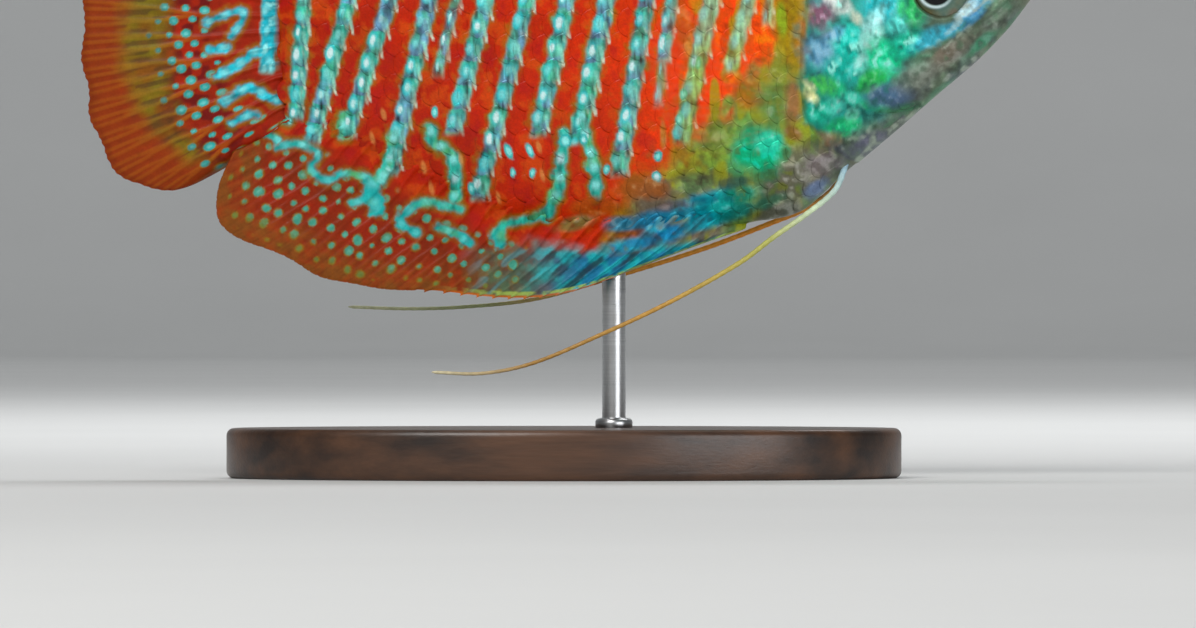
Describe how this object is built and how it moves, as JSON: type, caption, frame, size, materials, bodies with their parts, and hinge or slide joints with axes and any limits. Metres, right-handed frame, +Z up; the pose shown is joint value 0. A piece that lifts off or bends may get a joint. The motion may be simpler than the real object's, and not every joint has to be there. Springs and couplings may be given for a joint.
{
  "type": "dwarf gourami",
  "caption": "Life-size male dwarf gourami, a small deep-bodied aquarium fish with long thread-like pelvic fins, swimming above a plain oval display stand.",
  "frame": {"origin": "on the floor under the base, in the middle of the whole model's length and width", "axes": "+X towards the snout, +Y towards the fish's left side, +Z up"},
  "size_m": [0.0777, 0.032, 0.0588],
  "materials": {
    "head_skin": "wet grey-violet skin with teal and green gloss",
    "body_skin": "wet scales, red with slanting turquoise bars",
    "median_fins": "thin fins, red with turquoise spots and a rust-orange edge",
    "clear_fins": "clear membrane with pale rays",
    "threads": "golden thread, blue-white at its root",
    "eyes": "glassy, dark brown with a silver pupil ring",
    "base_wood": "dark stain, satin",
    "rod_steel": "brushed"
  },
  "bodies": {
    "root": {"head": "head_skin", "torso": "body_skin", "tail_stem": "body_skin", "dorsal_fin": "median_fins", "anal_fin": "median_fins", "caudal_fin": "median_fins", "pectoral_fin_left": "clear_fins", "pectoral_fin_right": "clear_fins", "pelvic_fin_left": "threads", "pelvic_fin_right": "threads", "eye_left": "eyes", "eye_right": "eyes", "stand_base": "base_wood", "stand_rod": "rod_steel"}
  },
  "joints": []
}
